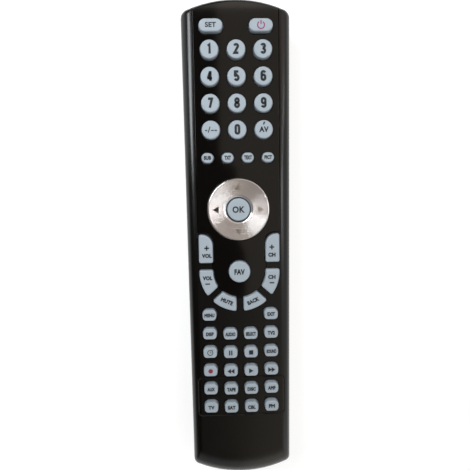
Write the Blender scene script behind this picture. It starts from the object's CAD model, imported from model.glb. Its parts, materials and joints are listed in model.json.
"""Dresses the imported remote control: mouldings, finishes, key prints, direction ring and stage."""

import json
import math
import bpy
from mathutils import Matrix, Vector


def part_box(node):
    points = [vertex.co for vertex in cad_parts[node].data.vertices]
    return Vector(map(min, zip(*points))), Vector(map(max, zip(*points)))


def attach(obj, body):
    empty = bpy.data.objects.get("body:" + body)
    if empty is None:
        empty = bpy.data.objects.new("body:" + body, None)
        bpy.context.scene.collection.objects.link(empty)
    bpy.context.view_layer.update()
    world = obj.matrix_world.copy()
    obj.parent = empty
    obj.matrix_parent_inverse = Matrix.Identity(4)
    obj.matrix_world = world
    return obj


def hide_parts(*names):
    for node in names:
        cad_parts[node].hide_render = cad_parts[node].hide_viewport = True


bl_info = {
    "name": "Universal remote control",
    "version": (1, 0, 0),
    "blender": (4, 5, 0),
    "location": "3D View > Sidebar > Remote",
    "description": "Finishes, key prints and stage for the packed remote control",
    "category": "Object",
}

import bmesh
import bpy
from mathutils import Euler, Matrix, Vector
from mathutils.geometry import delaunay_2d_cdt

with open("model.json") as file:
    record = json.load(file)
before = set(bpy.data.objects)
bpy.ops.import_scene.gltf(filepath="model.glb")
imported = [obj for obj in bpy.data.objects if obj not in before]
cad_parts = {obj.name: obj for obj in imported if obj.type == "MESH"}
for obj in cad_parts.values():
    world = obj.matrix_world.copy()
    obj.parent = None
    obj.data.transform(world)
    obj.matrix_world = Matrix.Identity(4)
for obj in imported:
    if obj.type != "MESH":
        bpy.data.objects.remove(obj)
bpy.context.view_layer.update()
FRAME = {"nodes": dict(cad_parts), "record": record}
BODIES = FRAME["record"]["behaviour"]["bodies"]
BODY_OF = {node: body for body, nodes in BODIES.items() for node in nodes}
KEYS = [node for node in BODY_OF if node.startswith("key_")]
MM = 0.001


def centre_of(node):
    """The middle of a node in plan, at the height of its top."""
    low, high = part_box(node)
    return Vector(((low[0] + high[0]) / 2, (low[1] + high[1]) / 2, high[2]))


RING_AT = centre_of("nav_ring")
FAV_AT = centre_of("key_favourite")
PANEL_SIDE, _, FACE_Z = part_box("gloss_panel")[1]
COVER_LOW, COVER_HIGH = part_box("front_cover")
# The cover's ledge under the gloss panel and its edge along the panel, which stay dull
LEDGE_SIDE, LEDGE_LOW, LEDGE_HIGH = PANEL_SIDE + 0.00044, FACE_Z - 0.003, FACE_Z - 0.00055
LEDGE_NEAR, LEDGE_FAR = COVER_LOW[1] + 0.013, COVER_HIGH[1] - 0.004
SEAM_SIDE, SEAM_NEAR = PANEL_SIDE - 0.00006, 0.005


# Shader nodes


class Wire:
    """An output socket on which Python's operators add Math nodes."""

    def __init__(self, finish, socket):
        self.finish, self.socket = finish, socket

    def maths(self, operation, first, second=0.0):
        return self.finish.node("ShaderNodeMath", {"operation": operation}, {0: first, 1: second})

    def __add__(self, other):
        return self.maths("ADD", self, other)

    __radd__ = __add__

    def __sub__(self, other):
        return self.maths("SUBTRACT", self, other)

    def __rsub__(self, other):
        return self.maths("SUBTRACT", other, self)

    def __mul__(self, other):
        return self.maths("MULTIPLY", self, other)

    __rmul__ = __mul__

    def __gt__(self, other):
        return self.maths("GREATER_THAN", self, other)

    def __lt__(self, other):
        return self.maths("LESS_THAN", self, other)

    def root(self):
        return self.maths("SQRT", self)

    def sine(self):
        return self.maths("SINE", self)

    def step(self, low, high):
        """0 below low, 1 above high and smooth between them."""
        return self.finish.node("ShaderNodeMapRange", {"interpolation_type": "SMOOTHSTEP"},
                                {"Value": self, "From Min": low, "From Max": high})


class Finish:
    """A material or world and the calls that add nodes to it."""

    def __init__(self, owner):
        self.owner = owner
        owner.use_nodes = True
        self.tree = owner.node_tree
        self.tree.nodes.clear()

    def node(self, kind, settings=None, inputs=None, out=0):
        made = self.tree.nodes.new(kind)
        for name, value in (settings or {}).items():
            setattr(made, name, value)
        for name, value in (inputs or {}).items():
            if isinstance(value, Wire):
                self.tree.links.new(value.socket, made.inputs[name])
            else:
                made.inputs[name].default_value = value
        return Wire(self, made.outputs[out]) if made.outputs else None

    def place(self):
        return self.node("ShaderNodeTexCoord", out="Object")

    def noise(self, scale, detail=3.0, at=None):
        inputs = {"Vector": at or self.place(), "Scale": scale, "Detail": detail, "Roughness": 0.55}
        return self.node("ShaderNodeTexNoise", None, inputs)

    def grains(self, scale):
        return self.node("ShaderNodeTexVoronoi", {"feature": "F1"}, {"Vector": self.place(), "Scale": scale})

    def blend(self, factor, first, second):
        """A colour between two others."""
        inputs = {0: factor, 6: rgba(first), 7: rgba(second)}
        return self.node("ShaderNodeMix", {"data_type": "RGBA"}, inputs, out=2)

    def shades(self, factor, colour, low, high):
        """A colour between two multiples of itself."""
        return self.blend(factor, [c * low for c in colour], [min(c * high, 1.0) for c in colour])

    def axis(self, name, at=None):
        return self.node("ShaderNodeSeparateXYZ", None, {0: at or self.place()}, out=name)

    def bump(self, height, strength, distance):
        inputs = {"Height": height, "Strength": strength, "Distance": distance}
        return self.node("ShaderNodeBump", None, inputs)

    def surface(self, **inputs):
        """Ends the material in a Principled shader. Names have their words joined by underscores."""
        words = {name.replace("_", " "): value for name, value in inputs.items()}
        if not isinstance(words["Base Color"], Wire):
            words["Base Color"] = rgba(words["Base Color"])
        shader = self.node("ShaderNodeBsdfPrincipled", None, words)
        self.node("ShaderNodeOutputMaterial", None, {"Surface": shader})
        return self.owner


def rgba(colour):
    return colour if isinstance(colour, Wire) or len(colour) == 4 else (*colour, 1.0)


def finish(name):
    return Finish(bpy.data.materials.new(name))


# Materials


def satin_shell(colour):
    """Black moulded shell: spark-eroded satin, a little polished where a hand holds it."""
    f = finish("satin_shell")
    grain = f.grains(4200.0) * 0.6 + f.noise(2600.0, 2.0) * 0.8
    handled = f.noise(24.0).step(0.42, 0.66)
    x, y, z = f.axis("X"), f.axis("Y"), f.axis("Z")
    within = x * x < LEDGE_SIDE ** 2
    ledge = within * (z < LEDGE_HIGH) * (z > LEDGE_LOW) * (y > LEDGE_NEAR) * (y < LEDGE_FAR)
    seam = within * (x * x > SEAM_SIDE ** 2) * (z > LEDGE_HIGH) * (y > SEAM_NEAR)
    return f.surface(Base_Color=f.shades(f.noise(60.0, 4.0), colour, 0.82, 1.18),
                     Roughness=0.23 - handled * 0.04 + f.noise(900.0, 2.0) * 0.04 + (ledge + seam) * 0.6,
                     Normal=f.bump(grain, 0.07, 0.00003), IOR=1.5)


def gloss_panel(colour):
    """Piano-black plate: mirror smooth, with faint waviness and hairline scratches."""
    f = finish("gloss_panel")
    inputs = {"Vector": f.place(), "Rotation": (0, 0, 0.5), "Scale": (1, 14, 1)}
    stretched = f.node("ShaderNodeMapping", None, inputs)
    scratches = f.noise(420.0, 2.0, at=stretched).step(0.64, 0.70)
    wave = f.noise(26.0, 1.0)
    return f.surface(Base_Color=f.shades(scratches, colour, 1.0, 2.2),
                     Roughness=0.055 + scratches * 0.05 + f.noise(70.0) * 0.03,
                     Coat_Weight=0.35 - scratches * 0.1, Coat_Roughness=0.04,
                     Normal=f.bump(wave, 0.25, 0.00016), IOR=1.49)


def key_silicone(colour):
    """Pale blue-grey silicone with a soft, slightly dusty skin."""
    f = finish("key_silicone")
    return f.surface(Base_Color=f.shades(f.noise(140.0), colour, 0.955, 1.035),
                     Roughness=0.50 + f.noise(1500.0, 2.0) * 0.10, Subsurface_Weight=0.12,
                     Subsurface_Radius=(0.6, 0.7, 0.8), Subsurface_Scale=0.0008,
                     Normal=f.bump(f.noise(3200.0, 2.0), 0.06, 0.00002), IOR=1.42)


def spun_metal(colour, bore_r, lip_r, rim_r):
    """Spun aluminium: fine rings about its middle, which spread light across them, and polished edges."""
    f = finish("spun_metal")
    inputs = {"Vector": f.place(), "Location": (-RING_AT.x, -RING_AT.y, 0)}
    about = f.node("ShaderNodeMapping", None, inputs)
    x, y = f.axis("X", about), f.axis("Y", about)
    radius = (x * x + y * y).root()
    rings = f.noise(24000.0, 1.0, at=f.node("ShaderNodeCombineXYZ", None, {0: radius}))
    metal = f.shades(rings, colour, 0.95, 1.0)
    return f.surface(Base_Color=f.blend(radius < bore_r, metal, (0.02, 0.02, 0.02)), Metallic=0.88,
                     Roughness=0.24 + rings * 0.04 - (radius < lip_r) * 0.08 - (radius > rim_r) * 0.12,
                     Anisotropic=1.0, Anisotropic_Rotation=0.25,
                     Normal=f.bump(rings, 1.0, 0.000014))


def polished_metal(colour):
    """The flat, mirror-bright arrows let into the ring."""
    f = finish("polished_metal")
    return f.surface(Base_Color=colour, Metallic=1.0, Roughness=0.05 + f.noise(500.0) * 0.05)


def print_ink(name, colour):
    """Screen-printed ink with a slightly broken film."""
    f = finish(name)
    film = f.noise(2400.0)
    worn = [c * 1.2 + 0.004 for c in colour]
    return f.surface(Base_Color=f.blend(film, [c * 0.85 for c in colour], worn), Roughness=0.55 + film * 0.1)


def grey_silicone(colour):
    """Matte grey silicone of the mat and the collar."""
    f = finish("grey_silicone")
    clouds = f.noise(90.0, 4.0)
    return f.surface(Base_Color=f.shades(clouds, colour, 0.9, 1.1),
                     Roughness=0.62 + clouds * 0.08, Normal=f.bump(f.noise(2200.0), 0.08, 0.00002))


def solder_mask(colour):
    """Green board: copper tracks show faintly through the mask."""
    f = finish("solder_mask")
    x, y = f.axis("X"), f.axis("Y")
    tracks = ((x * 2600.0).sine() > 0.55) * (f.noise(55.0, 1.0) > 0.5)
    tracks = tracks + ((y * 2600.0).sine() > 0.6) * (f.noise(48.0, 1.0) < 0.45)
    return f.surface(Base_Color=f.blend(tracks, colour, [c * 1.7 + 0.01 for c in colour]),
                     Roughness=0.34 + f.noise(600.0) * 0.08, Coat_Weight=0.3, Coat_Roughness=0.2,
                     Normal=f.bump(tracks, 0.2, 0.00003))


def infrared_window(colour):
    """Dark red pane: black to the eye, clear to infrared."""
    f = finish("infrared_window")
    return f.surface(Base_Color=f.shades(f.noise(80.0), colour, 1.0, 1.5),
                     Roughness=0.06 + f.noise(300.0) * 0.04, Coat_Weight=0.4, Coat_Roughness=0.03, IOR=1.55)


def nickel(colour):
    """Bright plated spring steel."""
    f = finish("nickel")
    drawn = f.noise(1800.0)
    return f.surface(Base_Color=f.shades(drawn, colour, 0.85, 1.0), Metallic=1.0,
                     Roughness=0.22 + drawn * 0.12, Normal=f.bump(drawn, 0.08, 0.00002))


def cell_sleeve(colour):
    """A plain shrink sleeve: a bronze shoulder band over a dark sleeve, with bare steel at both poles."""
    f = finish("cell_sleeve")
    low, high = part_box("batteries")
    middle, half = (low[1] + high[1]) / 2, (high[1] - low[1]) / 2
    # The cell on the right lies the other way round
    way = (f.axis("X") > 0.0) * -2.0 + 1.0
    along = (f.axis("Y") - middle) * way
    band = along > half * 0.34
    steel = (along > half * 0.80) + (along < half * -0.885)
    paint = f.blend(band, (0.016, 0.016, 0.018), colour)
    return f.surface(Base_Color=f.blend(steel, paint, (0.60, 0.59, 0.57)), Metallic=steel + band * 0.6,
                     Roughness=0.30 + f.noise(400.0) * 0.08)


# Meshes


def add_piece(name, mesh, material, body, replaces=()):
    """A finished piece at the origin: its place is in its mesh, and it rides on a body."""
    mesh.materials.clear()
    mesh.materials.append(material)
    piece = bpy.data.objects.new(name, mesh)
    bpy.context.scene.collection.objects.link(piece)
    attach(piece, body)
    if replaces:
        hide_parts(*replaces)
    return piece


# Points nearer than these distances are joined, and edges that turn more than the angle can get a rim
WELD, SLIVER = 2e-6, 1e-6
SHARP, RIM_SEGMENTS = math.radians(60), 3


def smooth(work, crease):
    """Smooths a mesh apart from the edges that turn more than an angle in degrees."""
    for face in work.faces:
        face.smooth = True
    for edge in work.edges:
        edge.smooth = edge.is_manifold and edge.calc_face_angle() < math.radians(crease)


def settle(work):
    """Puts points and faces in order of place, which is the same each run."""
    places = {v: tuple(v.co) for v in work.verts}
    places.update((face, sorted(places[v] for v in face.verts)) for face in list(work.faces))
    for parts in (work.verts, work.faces):
        ranks = {part: rank for rank, part in enumerate(sorted(parts, key=places.get))}
        parts.sort(key=ranks.get)


def moulding(node, material, crease=35.0, rims=(), flat_angle=0.4):
    """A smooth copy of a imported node, which it replaces.

    Faces that turn less than flat_angle are joined. Each rim is a width and a test of places:
    outer edges that lie there are rounded.
    """
    work = bmesh.new()
    work.from_mesh(FRAME["nodes"][node].data)
    bmesh.ops.remove_doubles(work, verts=work.verts, dist=WELD)
    bmesh.ops.dissolve_limit(work, angle_limit=math.radians(flat_angle), verts=work.verts, edges=work.edges)
    for width, inside in rims:
        edges = [edge for edge in work.edges if edge.is_manifold and edge.calc_face_angle_signed() > SHARP
                 and all(inside(v.co) for v in edge.verts)]
        bmesh.ops.bevel(work, geom=edges, offset=width, segments=RIM_SEGMENTS, profile=0.5, affect="EDGES",
                        clamp_overlap=False)
    bmesh.ops.dissolve_degenerate(work, dist=SLIVER, edges=work.edges)
    smooth(work, crease)
    settle(work)
    mesh = bpy.data.meshes.new(node + "_moulding")
    work.to_mesh(mesh)
    work.free()
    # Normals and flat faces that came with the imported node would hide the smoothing
    for name in ("custom_normal", "sharp_face"):
        if name in mesh.attributes:
            mesh.attributes.remove(mesh.attributes[name])
    piece = add_piece(node + "_moulding", mesh, material, BODY_OF[node], [node])
    weighted = piece.modifiers.new("even_shading", "WEIGHTED_NORMAL")
    weighted.keep_sharp = True
    weighted.weight = 60


def baked(data, prepare=None):
    """The plain mesh of a curve or mesh, with the modifiers that prepare gives its object."""
    holder = bpy.data.objects.new("baked", data)
    bpy.context.scene.collection.objects.link(holder)
    if prepare:
        prepare(holder)
    graph = bpy.context.evaluated_depsgraph_get()
    mesh = bpy.data.meshes.new_from_object(holder.evaluated_get(graph), depsgraph=graph)
    bpy.data.objects.remove(holder)
    return mesh


def winding(spot, sides):
    """How many times directed sides go round a spot."""
    turns = 0
    for a, b in sides:
        upward, downward = a.y <= spot.y < b.y, b.y <= spot.y < a.y
        left = (b - a).cross(spot - a) > 0
        turns += (upward and left) - (downward and not left)
    return turns


class Print:
    """Ink shapes in millimetres about a point, gathered into one thin mesh."""

    WELD, SLIVER, LETTER_WELD = 1e-3, 1e-4, 1e-5
    LETTER_GAP, LETTER_STEPS = 1.07, 5

    def __init__(self):
        self.work = bmesh.new()

    def polygon(self, points):
        self.lift([self.work.faces.new([self.work.verts.new((x, y, 0.0)) for x, y in points])])

    def lift(self, faces):
        """Makes flat faces into a solid."""
        made = bmesh.ops.extrude_face_region(self.work, geom=faces, use_keep_orig=True)
        lifted = [part for part in made["geom"] if isinstance(part, bmesh.types.BMVert)]
        bmesh.ops.translate(self.work, verts=lifted, vec=(0, 0, 1.0))

    def loops(self, points, edges, place):
        """Fills loops of edges, which may cross, wherever they turn about a spot the way they mostly do."""
        sides = [(points[a], points[b]) for a, b in edges]
        way = math.copysign(1.0, sum(a.cross(b) for a, b in sides))
        corners, _, triangles, *_ = delaunay_2d_cdt(points, edges, [], 0, self.LETTER_WELD)
        verts = [self.work.verts.new(place @ corner.to_3d()) for corner in corners]
        faces = []
        for triangle in triangles:
            middle = sum((corners[k] for k in triangle), Vector((0.0, 0.0))) / 3
            if winding(middle, sides) * way > 0:
                faces.append(self.work.faces.new([verts[k] for k in triangle]))
        bmesh.ops.delete(self.work, geom=[v for v in verts if not v.link_faces], context="VERTS")
        self.lift(faces)

    def bar(self, x, y, w, h, turn=0.0):
        c, s = math.cos(math.radians(turn)), math.sin(math.radians(turn))
        corners = [(-w / 2, -h / 2), (w / 2, -h / 2), (w / 2, h / 2), (-w / 2, h / 2)]
        self.polygon([(x + px * c - py * s, y + px * s + py * c) for px, py in corners])

    def arc(self, x, y, r, stroke, start, end, steps=20):
        outside = [(r + stroke / 2, start + (end - start) * k / steps) for k in range(steps + 1)]
        inside = [(r - stroke / 2, a) for _, a in reversed(outside)]
        self.polygon([(x + d * math.cos(math.radians(a)), y + d * math.sin(math.radians(a)))
                      for d, a in outside + inside])

    def disc(self, x, y, r, steps=32):
        turns = [math.tau * k / steps for k in range(steps)]
        self.polygon([(x + r * math.cos(a), y + r * math.sin(a)) for a in turns])

    def arrow(self, x, y, w, h):
        """A triangle that points right, or left where its width is negative."""
        self.polygon([(x - w / 2, y - h / 2), (x + w / 2, y), (x - w / 2, y + h / 2)])

    def stroke(self, path, pen):
        """A line of even width along a path, with mitred turns."""
        sides = ([], [])
        for k, (x, y) in enumerate(path):
            before, after = path[max(k - 1, 0)], path[min(k + 1, len(path) - 1)]
            first = Vector((x - before[0], y - before[1])) if k else Vector((after[0] - x, after[1] - y))
            last = Vector((after[0] - x, after[1] - y)) if k < len(path) - 1 else first
            # The mitre lies half a pen away from both lines that meet
            across = first.normalized().orthogonal() + last.normalized().orthogonal()
            across *= pen / max(across.length_squared, 1.0)
            sides[0].append((x + across.x, y + across.y))
            sides[1].append((x - across.x, y - across.y))
        self.polygon(sides[0] + sides[1][::-1])

    def words(self, text, x, y, width, height, weight, turn=0.0):
        """Text squeezed into a box of the given width and cap height, about its middle.

        The weight of letters counts only where they have walls, so their outlines are the walls' feet.
        """
        curve = bpy.data.curves.new("lettering", "FONT")
        curve.body, curve.offset, curve.resolution_u = text, weight, self.LETTER_STEPS
        curve.fill_mode, curve.extrude, curve.space_character = "NONE", 0.5, self.LETTER_GAP
        mesh = baked(curve)
        bpy.data.curves.remove(curve)
        xs, ys = [v.co.x for v in mesh.vertices], [v.co.y for v in mesh.vertices]
        to_middle = Matrix.Translation((-(min(xs) + max(xs)) / 2, -(min(ys) + max(ys)) / 2, 0))
        fit = Matrix.Diagonal((width / (max(xs) - min(xs)), height / (max(ys) - min(ys)), 1.0, 1.0))
        mesh.transform(fit @ to_middle)
        feet = [(a, b) for wall in mesh.polygons
                for a, b in zip(wall.vertices, [*wall.vertices[1:], wall.vertices[0]])
                if mesh.vertices[a].co.z < 0 and mesh.vertices[b].co.z < 0]
        turned = Matrix.Translation((x, y, 0)) @ Matrix.Rotation(math.radians(turn), 4, "Z")
        self.loops([v.co.xy for v in mesh.vertices], feet, turned)
        bpy.data.meshes.remove(mesh)

    def mesh(self, name, at, film):
        """The ink as a mesh in metres: a film above the surface at the point and half a film into it."""
        bmesh.ops.remove_doubles(self.work, verts=self.work.verts, dist=self.WELD)
        bmesh.ops.dissolve_degenerate(self.work, dist=self.SLIVER, edges=self.work.edges)
        bmesh.ops.recalc_face_normals(self.work, faces=self.work.faces)
        settle(self.work)
        made = bpy.data.meshes.new(name)
        self.work.to_mesh(made)
        self.work.free()
        made.transform(Matrix.Translation(at + Vector((0, 0, -film / 2)))
                       @ Matrix.Diagonal((MM, MM, 1.5 * film, 1.0)))
        return made


# Geometry Nodes


def make_tree(name, inputs):
    """A geometry tree, its inputs, a call that adds a node and one that ends the tree in its material."""
    tree = bpy.data.node_groups.new(name, "GeometryNodeTree")
    tree.interface.new_socket("Geometry", in_out="OUTPUT", socket_type="NodeSocketGeometry")
    sockets = {label: tree.interface.new_socket(label, in_out="INPUT", socket_type=kind).identifier
               for label, kind in inputs.items()}
    start, end = tree.nodes.new("NodeGroupInput"), tree.nodes.new("NodeGroupOutput")

    def add(kind, links=None, **settings):
        made = tree.nodes.new(kind)
        for label, value in settings.items():
            setattr(made, label, value)
        for label, value in (links or {}).items():
            if isinstance(value, bpy.types.NodeSocket):
                tree.links.new(value, made.inputs[label])
            else:
                made.inputs[label].default_value = value
        return made.outputs

    def close(geometry):
        whole = add("GeometryNodeRealizeInstances", {"Geometry": geometry})["Geometry"]
        coat = {"Geometry": whole, "Material": start.outputs["Material"]}
        tree.links.new(add("GeometryNodeSetMaterial", coat)["Geometry"], end.inputs[0])

    return tree, sockets, start.outputs, add, close


def lathe_tree():
    """Sweeps the profile round a circle."""
    tree, sockets, given, add, close = make_tree(
        "lathe", {"Profile": "NodeSocketGeometry", "Radius": "NodeSocketFloat", "Steps": "NodeSocketInt",
                  "Material": "NodeSocketMaterial"})
    circle = add("GeometryNodeCurvePrimitiveCircle",
                 {"Resolution": given["Steps"], "Radius": given["Radius"]})
    swept = add("GeometryNodeCurveToMesh", {"Curve": circle["Curve"], "Profile Curve": given["Profile"]})
    close(swept["Mesh"])
    return tree, sockets


def round_tree():
    """Repeats a mark at equal turns about the origin."""
    tree, sockets, given, add, close = make_tree(
        "marks_in_a_round", {"Mark": "NodeSocketGeometry", "Count": "NodeSocketInt",
                             "Material": "NodeSocketMaterial"})
    points = add("GeometryNodePoints", {"Count": given["Count"]})
    index = add("GeometryNodeInputIndex")
    turn = add("ShaderNodeMath", {0: math.tau, 1: given["Count"]}, operation="DIVIDE")
    angle = add("ShaderNodeMath", {0: index["Index"], 1: turn["Value"]}, operation="MULTIPLY")
    spin = add("ShaderNodeCombineXYZ", {"Z": angle["Value"]})
    placed = add("GeometryNodeInstanceOnPoints",
                 {"Points": points["Points"], "Instance": given["Mark"], "Rotation": spin["Vector"]})
    close(placed["Instances"])
    return tree, sockets


def grown(data, tree, sockets, values):
    """The plain mesh that a tree makes of a curve or mesh."""
    def prepare(holder):
        modifier = holder.modifiers.new("tree", "NODES")
        modifier.node_group = tree
        for label, value in values.items():
            modifier[sockets[label]] = value

    return baked(data, prepare)


# Settings


def length(name, description, default):
    return bpy.props.FloatProperty(name=name, description=description, default=default, min=0.0,
                                   precision=5, subtype="DISTANCE", unit="LENGTH")


def colour(name, description, default):
    return bpy.props.FloatVectorProperty(name=name, description=description, default=default, min=0.0,
                                         max=1.0, subtype="COLOR", size=3)


class RemoteSizes(bpy.types.PropertyGroup):
    """Sizes of what the dressing adds."""

    hole_rim: length("Hole rim", "Rounding of the edges of the key holes", 0.00014)
    panel_rim: length("Panel rim", "Rounding of the gloss panel's long edges", 0.00012)
    seam_rim: length("Seam rim", "Rounding of the cover's edges along the gloss panel", 0.00012)
    ink_film: length("Ink film", "Thickness of the printed ink", 0.00003)
    digit_height: length("Digit height", "Height of the digits on the round keys", 0.0042)
    word_height: length("Word height", "Cap height of the words on the square keys", 0.0018)
    arrow_length: length("Arrow length", "Length of the arrows in the direction ring", 0.0028)
    arrow_radius: length("Arrow radius", "Distance of the arrows from the middle of the ring", 0.0104)
    floor_size: length("Floor", "Width of the floor", 40.0)


class RemoteColours(bpy.types.PropertyGroup):
    """Colours of the finishes."""

    shell: colour("Shell", "Satin black shell", (0.0030, 0.0026, 0.0022))
    panel: colour("Panel", "Piano-black panel", (0.0022, 0.0019, 0.0017))
    keys: colour("Keys", "Pale silicone keys", (0.432, 0.500, 0.560))
    ink: colour("Ink", "Dark ink of the key prints", (0.004, 0.007, 0.012))
    power_ink: colour("Power ink", "Ink of the power sign", (0.30, 0.028, 0.15))
    record_ink: colour("Record ink", "Ink of the record dot", (0.24, 0.022, 0.05))
    ring: colour("Ring", "Spun metal of the direction ring", (0.92, 0.865, 0.85))
    arrows: colour("Arrows", "Polished arrows of the ring", (0.85, 0.82, 0.80))
    mat: colour("Mat", "Silicone of the keypad mat", (0.16, 0.18, 0.19))
    board: colour("Board", "Solder mask of the board", (0.022, 0.10, 0.045))
    window: colour("Window", "Infrared window", (0.020, 0.0035, 0.005))
    contacts: colour("Contacts", "Nickel of the battery contacts", (0.66, 0.64, 0.60))
    cells: colour("Cells", "Shoulder band of the cells", (0.52, 0.26, 0.08))


def sizes():
    return bpy.context.scene.remote_sizes


def colours():
    return bpy.context.scene.remote_colours


# Operators


class RemoteOperator:
    """What the operators share: each has its own make."""

    bl_options = {"REGISTER"}

    def execute(self, context):
        self.make()
        return {"FINISHED"}


# The stage in metres and degrees
CAMERA_AT, CAMERA_TURN, CAMERA_LENS = (-0.0066, 0.0212, 0.202), (-4.76, -1.61, -0.95), 30.1
FLOOR_GLOW, FLOOR_PAPER = 0.80, (0.36, 0.36, 0.36)
# Name, place, aim, size, power, tint and spread in degrees
LAMPS = (
    ("window", (-0.184, 0.193, 0.357), (0, 0.085, 0.022), (0.245, 0.156), 0.375, (0.92, 0.97, 1.0), 100),
    ("low_wall", (-0.35, 0.20, 0.14), (0, 0.20, 0.14), (0.25, 0.22), 0.13, (0.92, 0.97, 1.0), 180),
    ("near_wall", (0.35, -0.90, 0.42), (0.35, 0, 0.42), (1.7, 0.68), 1.6, (0.95, 0.98, 1.0), 180),
    ("high_wall", (0.30, 0.02, 0.80), (0, 0.02, 0.80), (0.18, 0.64), 1.35, (1.0, 0.97, 0.98), 180),
    ("head_wall", (0.0, 0.60, 0.78), (0, 0, 0.78), (0.36, 0.56), 0.45, (1.0, 0.93, 0.84), 180),
    ("door_gap", (0.455, 0.215, 0.71), (0, 0.018, 0.71), (0.014, 0.72), 0.40, (1.0, 0.98, 0.97), 180),
    ("curtain", (0.34, 0.38, 0.62), (0, 0, 0.62), (0.40, 0.60), 0.30, (1.0, 0.45, 0.38), 180),
)
WARM_WALL, PALE_WALL, TAN_WALL = (0.36, 0.32, 0.27), (0.58, 0.61, 0.60), (0.52, 0.46, 0.37)
DARK_SIDE, DIM_SIDE, HORIZON = (0.010, 0.008, 0.007), (0.045, 0.036, 0.030), (0.78, 0.78, 0.78)


class REMOTE_OT_stage(RemoteOperator, bpy.types.Operator):
    """Sets the camera, the floor, the lamps and the world"""

    bl_idname = "remote.stage"
    bl_label = "Stage"

    def camera(self):
        data = bpy.data.cameras.new("camera")
        data.sensor_width, data.lens, data.clip_start = 36.0, CAMERA_LENS, 0.01
        camera = bpy.data.objects.new("camera", data)
        camera.location = CAMERA_AT
        camera.rotation_euler = Euler([math.radians(angle) for angle in CAMERA_TURN])
        bpy.context.scene.collection.objects.link(camera)
        return camera

    def lamp(self, name, at, aim, size, power, tint, spread):
        data = bpy.data.lights.new(name, "AREA")
        data.shape, data.size, data.size_y = "RECTANGLE", *size
        data.energy, data.color, data.spread = power, tint, math.radians(spread)
        holder = bpy.data.objects.new(name, data)
        holder.location = at
        holder.rotation_euler = (Vector(aim) - Vector(at)).to_track_quat("-Z", "Y").to_euler()
        bpy.context.scene.collection.objects.link(holder)

    def floor(self):
        """White paper that glows to the camera and in mirrors, and is clear from below."""
        half = sizes().floor_size / 2
        corners = [(-half, -half, 0), (half, -half, 0), (half, half, 0), (-half, half, 0)]
        mesh = bpy.data.meshes.new("floor")
        mesh.from_pydata(corners, [], [(0, 1, 2, 3)])
        f = finish("white_floor")
        seen = f.node("ShaderNodeLightPath", out="Is Camera Ray")
        mirrored = f.node("ShaderNodeLightPath", out="Is Glossy Ray")
        through = f.node("ShaderNodeLightPath", out="Is Transmission Ray")
        strength = (seen + mirrored + through) * FLOOR_GLOW
        glow = f.node("ShaderNodeEmission", None, {"Color": (1, 1, 1, 1), "Strength": strength})
        paper = f.node("ShaderNodeBsdfDiffuse", None, {"Color": rgba(FLOOR_PAPER)})
        both = f.node("ShaderNodeAddShader", None, {0: paper, 1: glow})
        under = f.node("ShaderNodeNewGeometry", out="Backfacing")
        clear = f.node("ShaderNodeBsdfTransparent")
        shown = f.node("ShaderNodeMixShader", None, {0: under, 1: both, 2: clear})
        f.node("ShaderNodeOutputMaterial", None, {"Surface": shown})
        mesh.materials.append(f.owner)
        floor = bpy.data.objects.new("floor", mesh)
        bpy.context.scene.collection.objects.link(floor)

    def room(self):
        """The room that the gloss and the metal mirror: lit on the right, dark on the left."""
        f = Finish(bpy.data.worlds.new("room"))
        way = f.node("ShaderNodeTexCoord", out="Generated")
        x, y, z = f.axis("X", way), f.axis("Y", way), f.axis("Z", way)
        near = 0.0 - y
        # Where the lit side begins, which wanders between the head and the hand end
        edge = 0.026 + near.step(0.08, 0.14) * 0.018 - near.step(0.2, 0.3) * 0.010
        edge = edge - y.step(0.08, 0.12) * 0.042
        lit = f.blend(x.step(0.15, 0.5), WARM_WALL, PALE_WALL)
        lit = f.blend(near.step(0.25, 0.5) * (1.0 - x.step(0.3, 0.6)), lit, TAN_WALL)
        dark = f.blend(x.step(-0.16, -0.07), DARK_SIDE, DIM_SIDE)
        walls = f.blend((x - edge).step(0.0, 0.014), dark, lit)
        view = f.blend(z.step(0.02, 0.30), HORIZON, walls)
        sky = f.node("ShaderNodeBackground", None, {"Color": view, "Strength": 1.0})
        f.node("ShaderNodeOutputWorld", None, {"Surface": sky})
        return f.owner

    def make(self):
        scene = bpy.context.scene
        scene.view_settings.view_transform = "Standard"
        scene.camera = self.camera()
        self.floor()
        for lamp in LAMPS:
            self.lamp(*lamp)
        scene.world = self.room()


# Edges that get a rim lie within these depths of the face, and inside or outside these half widths
SIDE_DEPTH, HOLE_DEPTH = 0.0005, 0.0002
COVER_SIDE, RIM_SIDE = PANEL_SIDE + 0.0002, PANEL_SIDE - 0.0001
HOLE_SIDE = RIM_SIDE - 0.0004


class REMOTE_OT_shells(RemoteOperator, bpy.types.Operator):
    """Finishes the two shells and the battery door"""

    bl_idname = "remote.shells"
    bl_label = "Shells"

    def make(self):
        def along_panel(p):
            return p.z > FACE_Z - SIDE_DEPTH and abs(p.x) > COVER_SIDE

        material = satin_shell(colours().shell)
        moulding("front_cover", material, rims=[(sizes().seam_rim, along_panel)])
        moulding("rear_cover", material, flat_angle=0.0)
        moulding("battery_door", material)


class REMOTE_OT_panel(RemoteOperator, bpy.types.Operator):
    """Finishes the gloss panel"""

    bl_idname = "remote.panel"
    bl_label = "Gloss panel"

    def make(self):
        def at_side(p):
            return p.z > FACE_Z - SIDE_DEPTH and abs(p.x) > RIM_SIDE

        def at_hole(p):
            return p.z > FACE_Z - HOLE_DEPTH and abs(p.x) < HOLE_SIDE

        rims = [(sizes().panel_rim, at_side), (sizes().hole_rim, at_hole)]
        moulding("gloss_panel", gloss_panel(colours().panel), rims=rims)


class REMOTE_OT_keys(RemoteOperator, bpy.types.Operator):
    """Finishes every silicone key"""

    bl_idname = "remote.keys"
    bl_label = "Keys"

    def make(self):
        material = key_silicone(colours().keys)
        for node in KEYS:
            moulding(node, material, crease=42.0)


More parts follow.
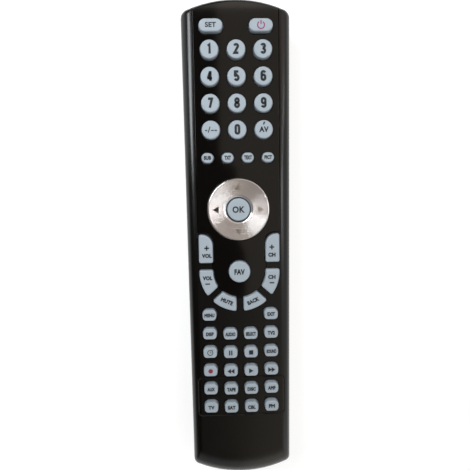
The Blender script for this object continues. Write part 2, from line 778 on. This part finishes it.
# The ring's turned section in metres
RING_STEPS, RING_CREASE = 256, 40.0
FLANGE_W, FLANGE_T, OK_GAP = 0.0008, 0.0006, 0.00045
DISH, DISH_STEPS, DISH_CURVE = 0.0005, 12, 1.35
LIP_W, LIP_H, BORE_SHADE = 0.00105, 0.0004, 0.00012
# The rounded outer edge by steps inwards and downwards from the rim's corner
OUTER_EDGE = ((0.0, 0.00038), (0.00008, 0.00018), (0.00022, 0.00004), (0.00040, 0.0), (0.00060, 0.00003))
# The lip by steps outwards and upwards from its foot at the bore
INNER_EDGE = ((0.00095, 0.00039), (0.00020, 0.00018), (0.00006, 0.00004), (0.0, -0.00020))
ARROWS, ARROW_SHARE, ARROW_SINK, ARROW_FILM = 4, 1.1, 0.00016, 0.00018


class REMOTE_OT_ring(RemoteOperator, bpy.types.Operator):
    """Turns the direction ring and lets its arrows in"""

    bl_idname = "remote.ring"
    bl_label = "Direction ring"

    def profile(self):
        """The ring's section as a curve, x from its rim and y downwards, and three of its radii."""
        low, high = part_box("nav_ring")
        ok_low, ok_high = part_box("key_ok")
        flange_r, bottom, top = (high[0] - low[0]) / 2, low[2], high[2]
        rim_r, bore_r = flange_r - FLANGE_W, (ok_high[0] - ok_low[0]) / 2 + OK_GAP
        lip_r, dish_z, flange_z = bore_r + LIP_W, top - DISH, bottom + FLANGE_T
        section = [(bore_r, bottom), (flange_r, bottom), (flange_r, flange_z), (rim_r, flange_z)]
        section += [(rim_r - inward, top - down) for inward, down in OUTER_EDGE]
        edge_r, edge_z = section[-1]
        for k in range(1, DISH_STEPS + 1):
            left = 1 - k / DISH_STEPS
            section.append((lip_r + (edge_r - lip_r) * left, dish_z + (edge_z - dish_z) * left ** DISH_CURVE))
        section += [(bore_r + outward, dish_z - LIP_H + up) for outward, up in INNER_EDGE]
        curve = bpy.data.curves.new("ring_section", "CURVE")
        curve.dimensions = "3D"
        spline = curve.splines.new("POLY")
        spline.points.add(len(section) - 1)
        for point, (r, z) in zip(spline.points, section):
            point.co = (r - rim_r, -z, 0.0, 1.0)
        spline.use_cyclic_u = True
        return curve, bore_r, lip_r, rim_r

    def make(self):
        to_place = Matrix.Translation((RING_AT.x, RING_AT.y, 0))
        curve, bore_r, lip_r, rim_r = self.profile()
        metal = spun_metal(colours().ring, bore_r + BORE_SHADE, lip_r, rim_r - OUTER_EDGE[-1][0])
        mesh = grown(curve, *lathe_tree(), {"Radius": rim_r, "Steps": RING_STEPS, "Material": metal})
        work = bmesh.new()
        work.from_mesh(mesh)
        bmesh.ops.recalc_face_normals(work, faces=work.faces)
        smooth(work, RING_CREASE)
        work.to_mesh(mesh)
        work.free()
        mesh.transform(to_place)
        add_piece("nav_ring_spun", mesh, metal, "nav_ring", ["nav_ring"])

        mirror = polished_metal(colours().arrows)
        mark = Print()
        reach = sizes().arrow_length / MM
        mark.arrow(sizes().arrow_radius / MM, 0.0, reach, reach * ARROW_SHARE)
        arrow = mark.mesh("arrow", Vector((0, 0, RING_AT.z - ARROW_SINK)), ARROW_FILM)
        arrows = grown(arrow, *round_tree(), {"Count": ARROWS, "Material": mirror})
        arrows.transform(to_place)
        add_piece("nav_ring_arrows", arrows, mirror, "nav_ring")


# Weights of letters, by how far their outlines are moved out
FINE, THIN, PLAIN = 0.036, 0.050, 0.066
DIGIT_BOX, DIGIT_PEN, BOWL = 4.0, 1.02, 0.72


def bend(x, y, rx, ry, start, end, steps=10):
    """Points of a turn of an ellipse, by its middle, radii and angles in degrees."""
    turns = [math.radians(start + (end - start) * k / steps) for k in range(steps + 1)]
    return [(x + rx * math.cos(a), y + ry * math.sin(a)) for a in turns]


def bowl(y, start, end):
    """Points of a turn of the usual circle in a digit."""
    return bend(0, y, BOWL, BOWL, start, end)


# The pen's paths of the condensed digits, in a box two units wide and four high
DIGITS = (
    (bowl(1.0, 0, 180) + bowl(-1.0, 180, 360) + [(BOWL, 1.0)],),
    ([(-0.55, 1.15), (0.18, 1.72), (0.18, -1.98)],),
    (bowl(1.0, 170, -20) + [(-0.72, -1.72), (0.95, -1.72)],),
    (bend(0, 1.02, 0.70, 0.70, 165, -75) + [(-0.15, 0.2)],
     [(-0.15, 0.2)] + bend(0, -0.90, 0.74, 0.82, 75, -165)),
    ([(0.30, -1.98), (0.30, 1.98)], [(0.20, 1.80), (-0.72, -0.92)], [(-1.02, -0.92), (0.98, -0.92)]),
    ([(0.80, 1.72), (-0.62, 1.72), (-0.68, 0.10)] + bend(0, -0.78, 0.74, 0.94, 125, -160),),
    (bowl(1.0, 15, 180) + bowl(-1.0, 180, 360) + bowl(-0.45, 0, 150),),
    ([(-0.90, 1.72), (0.72, 1.72), (-0.22, -1.98)],),
    (bend(0, 0.95, 0.66, 0.77, -90, 270, 20), bend(0, -0.86, 0.74, 0.86, 90, 450, 20)),
    (bowl(-1.0, 195, 360) + bowl(1.0, 0, 180) + bowl(0.45, 180, 330),),
)
# Word and width of its box in millimetres
WORDS = {
    "key_menu": ("MENU", 4.6), "key_exit": ("EXIT", 3.5), "key_display": ("DISP", 3.6),
    "key_audio": ("AUDIO", 4.7), "key_select": ("SELECT", 4.7), "key_second_tv": ("TV2", 3.4),
    "key_sound": ("SOUND", 4.6), "key_aux": ("AUX", 3.5), "key_tape": ("TAPE", 4.05),
    "key_disc": ("DISC", 3.8), "key_amplifier": ("AMP", 3.6), "key_tv": ("TV", 2.9),
    "key_satellite": ("SAT", 3.6), "key_cable": ("CBL", 3.6), "key_tuner": ("FM", 2.9),
    "key_subtitle": ("SUB", 3.3), "key_text_mix": ("TXT", 2.9), "key_text": ("TEXT", 3.5),
    "key_picture": ("PICT", 3.4),
}
# Word, width and height of its box in millimetres, and weight
LARGE_WORDS = {
    "key_set": ("SET", 4.8, 2.2, FINE), "key_ok": ("OK", 5.6, 2.95, FINE),
    "key_favourite": ("FAV", 4.8, 2.6, THIN),
}
# Prints of the keys round the favourites key, in millimetres and degrees about its middle
UPPER_X, PLUS_Y, UPPER_WORD_Y = 14.85, 11.2, 7.7
LOWER_X, MINUS_Y, LOWER_WORD_Y = 14.75, -5.3, -2.6
PLUS, MINUS, BAR, PAIR_WORD_H = 2.2, 2.1, 0.60, 1.9
TURNED_R, TURNED_BY, TURNED_W, TURNED_H = 14.9, 24.0, 5.8, 1.95
# Signs in millimetres about the middles of their keys, by the calls that draw them
SIGNS = {
    "key_power": [("arc", 0, -0.25, 1.5, 0.50, 122, 418, 36), ("bar", 0, 0.95, 0.50, 1.8)],
    "key_two_digit": [("bar", -2.1, -0.35, 1.0, 0.50), ("bar", 0.7, -0.35, 1.15, 0.50),
                      ("bar", 2.15, -0.35, 1.15, 0.50), ("bar", -0.75, 0, 0.42, 2.8, -18)],
    "key_av": [("words", "AV", 0, -0.1, 4.3, 2.5, THIN),
               ("polygon", [(-0.45, 1.9), (0.15, 2.0), (0.7, 3.3), (-0.1, 3.2)])],
    "key_timer": [("arc", 0, 0, 1.2, 0.34, 90.5, 449.5, 40), ("bar", 0, 0.33, 0.22, 0.80),
                  ("bar", 0.30, 0, 0.70, 0.22), ("bar", 1.0, 1.25, 0.55, 0.24, -42)],
    "key_pause": [("bar", -0.5, 0, 0.58, 2.3), ("bar", 0.5, 0, 0.58, 2.3)],
    "key_stop": [("bar", 0, 0, 1.95, 2.05)],
    "key_record": [("disc", 0, 0, 1.05)],
    "key_rewind": [("arrow", -0.85, 0, -1.7, 2.4), ("arrow", 0.75, 0, -1.7, 2.4)],
    "key_play": [("arrow", 0, 0, 2.1, 2.4)],
    "key_forward": [("arrow", -0.75, 0, 1.7, 2.4), ("arrow", 0.85, 0, 1.7, 2.4)],
}


class REMOTE_OT_prints(RemoteOperator, bpy.types.Operator):
    """Prints the digits, words and signs on the keys"""

    bl_idname = "remote.prints"
    bl_label = "Key prints"

    def lay(self, node, marks, material, about=None):
        """Prints marks on top of a key, about its own middle or another's."""
        ink = Print()
        for kind, *values in marks:
            getattr(ink, kind)(*values)
        at = centre_of(node)
        if about is not None:
            at.xy = about.xy
        mesh = ink.mesh(node + "_print", at, sizes().ink_film)
        add_piece(node + "_print", mesh, material, BODY_OF[node])

    def digits(self, material):
        unit = sizes().digit_height / MM / DIGIT_BOX
        for k, paths in enumerate(DIGITS):
            scaled = [[(x * unit, y * unit) for x, y in path] for path in paths]
            self.lay(f"key_{k}", [("stroke", path, DIGIT_PEN * unit) for path in scaled], material)

    def words(self, material):
        height = sizes().word_height / MM
        for node, (text, width) in WORDS.items():
            self.lay(node, [("words", text, 0, 0, width, height, PLAIN)], material)
        for node, (text, *box) in LARGE_WORDS.items():
            self.lay(node, [("words", text, 0, 0, *box)], material)

    def fan(self, material):
        """The keys round the favourites key: two pairs at its sides and two turned words below it."""
        for side, name, text, width in ((-1, "volume", "VOL", 4.5), (1, "channel", "CH", 3.4)):
            x = side * UPPER_X
            up = [("bar", x, PLUS_Y, PLUS, BAR), ("bar", x, PLUS_Y, BAR, PLUS),
                  ("words", text, x, UPPER_WORD_Y, width, PAIR_WORD_H, PLAIN)]
            self.lay(f"key_{name}_up", up, material, FAV_AT)
            x = side * LOWER_X
            down = [("words", text, x, LOWER_WORD_Y, width, PAIR_WORD_H, PLAIN),
                    ("bar", x, MINUS_Y, MINUS, BAR)]
            self.lay(f"key_{name}_down", down, material, FAV_AT)
        turn = math.radians(TURNED_BY)
        for side, node, text in ((-1, "key_mute", "MUTE"), (1, "key_back", "BACK")):
            x, y = side * TURNED_R * math.sin(turn), -TURNED_R * math.cos(turn)
            word = ("words", text, x, y, TURNED_W, TURNED_H, PLAIN, side * TURNED_BY)
            self.lay(node, [word], material, FAV_AT)

    def make(self):
        dark = print_ink("dark_ink", colours().ink)
        red = print_ink("record_ink", colours().record_ink)
        pink = print_ink("power_ink", colours().power_ink)
        self.digits(dark)
        self.words(dark)
        self.fan(dark)
        tinted = {"key_power": pink, "key_record": red}
        for node, marks in SIGNS.items():
            self.lay(node, marks, tinted.get(node, dark))


class REMOTE_OT_inside(RemoteOperator, bpy.types.Operator):
    """Finishes the window and what the shells hold"""

    bl_idname = "remote.inside"
    bl_label = "Window and inside"

    def make(self):
        tints = colours()
        moulding("ir_window", infrared_window(tints.window))
        moulding("ir_led", infrared_window(tints.window))
        moulding("circuit_board", solder_mask(tints.board))
        rubber = grey_silicone(tints.mat)
        moulding("keypad_mat", rubber)
        moulding("nav_collar", rubber)
        moulding("battery_contacts", nickel(tints.contacts), crease=70.0)
        moulding("batteries", cell_sleeve(tints.cells))


class REMOTE_PT_pieces(bpy.types.Panel):
    """Lists the operators that dress the remote"""

    bl_idname = "REMOTE_PT_pieces"
    bl_label = "Remote control"
    bl_space_type = "VIEW_3D"
    bl_region_type = "UI"
    bl_category = "Remote"

    def draw(self, context):
        for operator in OPERATORS:
            self.layout.operator(operator.bl_idname)
        for group in (sizes(), colours()):
            for name in group.__annotations__:
                self.layout.prop(group, name)


OPERATORS = (REMOTE_OT_stage, REMOTE_OT_shells, REMOTE_OT_panel, REMOTE_OT_keys, REMOTE_OT_ring,
             REMOTE_OT_prints, REMOTE_OT_inside)
CLASSES = (RemoteSizes, RemoteColours, *OPERATORS, REMOTE_PT_pieces)


def register():
    for kind in CLASSES:
        bpy.utils.register_class(kind)
    bpy.types.Scene.remote_sizes = bpy.props.PointerProperty(type=RemoteSizes)
    bpy.types.Scene.remote_colours = bpy.props.PointerProperty(type=RemoteColours)


def unregister():
    del bpy.types.Scene.remote_colours
    del bpy.types.Scene.remote_sizes
    for kind in reversed(CLASSES):
        bpy.utils.unregister_class(kind)


def main():
    register()
    for operator in OPERATORS:
        group, name = operator.bl_idname.split(".")
        getattr(getattr(bpy.ops, group), name)()


if __name__ == "__main__":
    main()
